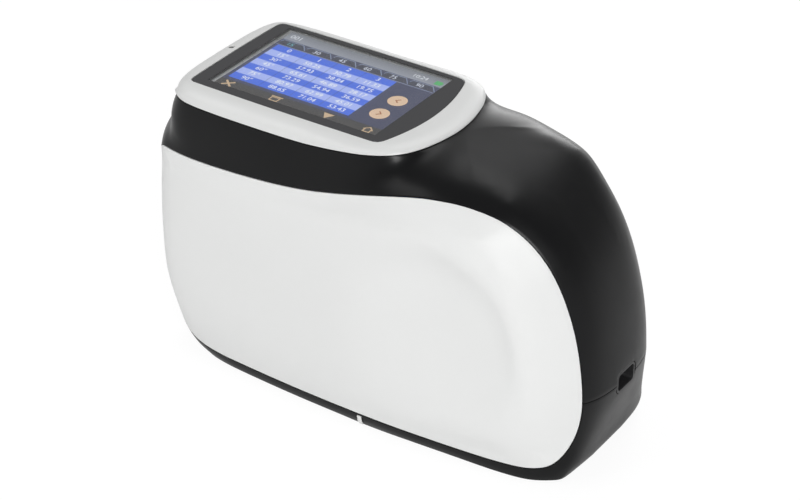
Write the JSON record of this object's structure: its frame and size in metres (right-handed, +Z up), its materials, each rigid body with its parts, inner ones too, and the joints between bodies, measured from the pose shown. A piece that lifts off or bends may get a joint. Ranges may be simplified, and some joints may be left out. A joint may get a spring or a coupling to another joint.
{
  "type": "multi-angle spectrophotometer",
  "caption": "Hand-held multi-angle colour meter with a touch screen on a raised head, a rounded palm rest, a data port in the end and a measuring aperture underneath.",
  "frame": {"origin": "under the middle of the instrument, on the surface that it stands on", "axes": "+Z up, +X towards the rounded palm-rest end with the data port, -Y towards the user's side"},
  "size_m": [0.1894, 0.0844, 0.1158],
  "materials": {
    "black_case": "satin black moulded plastic",
    "white_panel": "satin white moulded plastic",
    "white_bezel": "smooth off-white moulded plastic",
    "mark_white": "white mark",
    "dark_plastic": "dark grey moulded plastic",
    "grey_plastic": "grey moulded plastic",
    "rubber": "black rubber",
    "cover_glass": "tinted glossy cover glass",
    "display_panel": "lit display",
    "clear_plastic": "clear",
    "battery_wrap": "blue film wrap",
    "circuit_board": "green solder mask",
    "chip": "matt black package",
    "flat_cable": "amber film",
    "steel": "plain steel",
    "cast_alloy": "cast alloy",
    "brass": "turned brass"
  },
  "bodies": {
    "case": {"aperture_plate": "grey_plastic", "aperture_window": "clear_plastic", "base_screw_1": "steel", "base_screw_2": "steel", "base_screw_3": "steel", "base_screw_4": "steel", "base_shell": "black_case", "battery_pack": "battery_wrap", "battery_strap": "rubber", "battery_tray": "dark_plastic", "board_spacer_1": "brass", "board_spacer_2": "brass", "buzzer": "chip", "chassis_plate": "cast_alloy", "detector_barrel_1": "dark_plastic", "detector_barrel_2": "dark_plastic", "detector_barrel_3": "dark_plastic", "detector_barrel_4": "dark_plastic", "detector_barrel_5": "dark_plastic", "detector_barrel_6": "dark_plastic", "display_board": "circuit_board", "display_bracket": "steel", "display_ribbon": "flat_cable", "display_screw_1": "steel", "display_screw_2": "steel", "display_screw_3": "steel", "display_screw_4": "steel", "far_side_panel": "white_panel", "indicator_light_pipe": "clear_plastic", "lamp_housing": "dark_plastic", "lamp_lens": "clear_plastic", "lcd_module": "display_panel", "main_board": "circuit_board", "measure_switch": "dark_plastic", "near_side_panel": "white_panel", "optics_frame": "cast_alloy", "optics_screw_1": "steel", "optics_screw_2": "steel", "position_mark_far": "mark_white", "position_mark_near": "mark_white", "power_board": "circuit_board", "power_bracket": "steel", "power_switch": "dark_plastic", "processor_chip": "chip", "rubber_foot_1": "rubber", "rubber_foot_2": "rubber", "rubber_foot_3": "rubber", "rubber_foot_4": "rubber", "screen_bezel": "white_bezel", "sensor_board": "circuit_board", "switch_board": "circuit_board", "top_shell": "black_case", "touch_glass": "cover_glass", "usb_board": "circuit_board", "usb_bracket": "steel", "usb_port_frame": "dark_plastic", "usb_socket": "steel", "usb_tongue": "dark_plastic"},
    "measure_button": {"measure_button": "grey_plastic"},
    "power_button": {"power_button": "grey_plastic"}
  },
  "joints": [
    {"name": "measure_button_press", "type": "slide", "parent": "case", "child": "measure_button", "axis": [-0.0551, -0.9985, 0], "range_m": [0, 0.0007], "stiffness_N_per_m": 2000, "springref_m": -0.0005},
    {"name": "power_button_press", "type": "slide", "parent": "case", "child": "power_button", "axis": [1, 0, 0], "range_m": [0, 0.0006], "stiffness_N_per_m": 2000, "springref_m": -0.0005}
  ]
}
